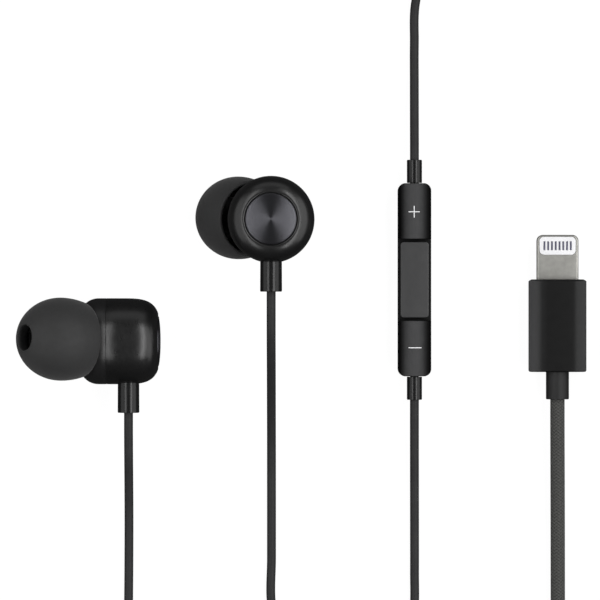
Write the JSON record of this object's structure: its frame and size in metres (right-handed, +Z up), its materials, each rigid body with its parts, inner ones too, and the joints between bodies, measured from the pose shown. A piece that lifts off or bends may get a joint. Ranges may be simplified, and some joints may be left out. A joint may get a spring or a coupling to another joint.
{
  "type": "wired earphones",
  "caption": "Canted in-ear earphones with silicone tips, an in-line volume and call remote, a Y splitter and a flat reversible digital plug on a braided cord.",
  "frame": {"origin": "on the surface the set lies on, under the middle of the box round the two earpieces and their strain reliefs", "axes": "+X from the left earpiece towards the plug, +Y up the flat-lay, against the way the cords leave, +Z up off the surface"},
  "size_m": [0.0998, 0.1745, 0.0226],
  "materials": {
    "gloss_shell": "high gloss",
    "matte_shell": "fine matt texture",
    "spun_cap": "dark anodised, concentric spun lines",
    "silicone": "soft matt silicone",
    "nozzle_steel": "fine woven mesh",
    "driver_plastic": "moulded",
    "magnet_steel": "plated steel",
    "diaphragm_film": "formed polyester film",
    "copper": "enamelled copper wire",
    "relief_rubber": "satin rubber",
    "remote_gloss": "gloss",
    "button_satin": "satin",
    "circuit_board": "solder mask",
    "switch_metal": "stamped steel",
    "tab_steel": "bead-blasted steel",
    "insulator_white": "white moulding",
    "contact_metal": "plated contact",
    "boot_plastic": "satin moulding",
    "cord_rubber": "satin jacket",
    "cord_braid": "fine woven braid",
    "tie_fabric": "woven tape"
  },
  "bodies": {
    "root": {"left_rear_housing": "gloss_shell", "left_rear_cap": "spun_cap", "left_front_housing": "matte_shell", "left_nozzle_mesh": "nozzle_steel", "left_strain_relief": "relief_rubber", "left_driver_basket": "driver_plastic", "left_driver_magnet": "magnet_steel", "right_rear_housing": "gloss_shell", "right_rear_cap": "spun_cap", "right_front_housing": "matte_shell", "right_nozzle_mesh": "nozzle_steel", "right_strain_relief": "relief_rubber", "right_driver_basket": "driver_plastic", "right_driver_magnet": "magnet_steel", "remote_rear_shell": "remote_gloss", "remote_chassis": "remote_gloss", "remote_circuit_board": "circuit_board", "volume_up_switch": "switch_metal", "centre_switch": "switch_metal", "volume_down_switch": "switch_metal", "microphone": "switch_metal", "remote_upper_strain_relief": "relief_rubber", "remote_lower_strain_relief": "relief_rubber", "plug_tab": "tab_steel", "plug_insulator": "insulator_white", "plug_boot": "boot_plastic", "plug_circuit_board": "circuit_board", "plug_strain_relief": "boot_plastic", "contact_1": "contact_metal", "contact_2": "contact_metal", "contact_3": "contact_metal", "contact_4": "contact_metal", "contact_5": "contact_metal", "contact_6": "contact_metal", "contact_7": "contact_metal", "contact_8": "contact_metal", "splitter_lower_shell": "boot_plastic", "splitter_upper_shell": "boot_plastic", "splitter_grommet": "relief_rubber", "splitter_strain_relief": "relief_rubber", "left_cord_bud_end": "cord_rubber", "left_cord_splitter_end": "cord_rubber", "right_cord_bud_end": "cord_rubber", "right_cord_splitter_end": "cord_rubber", "left_cord_coil": "cord_rubber", "main_cord_splitter_end": "cord_braid", "main_cord_plug_end": "cord_braid", "main_cord_coil": "cord_braid", "left_coil_tie": "tie_fabric", "main_coil_tie": "tie_fabric"},
    "left_tip": {"left_ear_tip": "silicone"},
    "right_tip": {"right_ear_tip": "silicone"},
    "left_cone": {"left_diaphragm": "diaphragm_film", "left_voice_coil": "copper"},
    "right_cone": {"right_diaphragm": "diaphragm_film", "right_voice_coil": "copper"},
    "volume_up_key": {"volume_up_button": "remote_gloss"},
    "centre_key": {"centre_button": "button_satin"},
    "volume_down_key": {"volume_down_button": "remote_gloss"}
  },
  "joints": [
    {"name": "left_tip_pull", "type": "slide", "parent": "root", "child": "left_tip", "axis": [-0.8192, 0.04, 0.5722], "range_m": [0, 0.0055]},
    {"name": "right_tip_pull", "type": "slide", "parent": "root", "child": "right_tip", "axis": [-0.5722, 0.04, -0.8192], "range_m": [0, 0.0055]},
    {"name": "left_cone_travel", "type": "slide", "parent": "root", "child": "left_cone", "axis": [-1, 0, 0], "range_m": [-0.00015, 0.00015], "stiffness_N_per_m": 500},
    {"name": "right_cone_travel", "type": "slide", "parent": "root", "child": "right_cone", "axis": [0, 0, -1], "range_m": [-0.00015, 0.00015], "stiffness_N_per_m": 500},
    {"name": "volume_up_press", "type": "slide", "parent": "root", "child": "volume_up_key", "axis": [0, 0, -1], "range_m": [0, 0.00025], "stiffness_N_per_m": 3000},
    {"name": "centre_press", "type": "slide", "parent": "root", "child": "centre_key", "axis": [0, 0, -1], "range_m": [0, 0.00025], "stiffness_N_per_m": 3000},
    {"name": "volume_down_press", "type": "slide", "parent": "root", "child": "volume_down_key", "axis": [0, 0, -1], "range_m": [0, 0.00025], "stiffness_N_per_m": 3000}
  ]
}
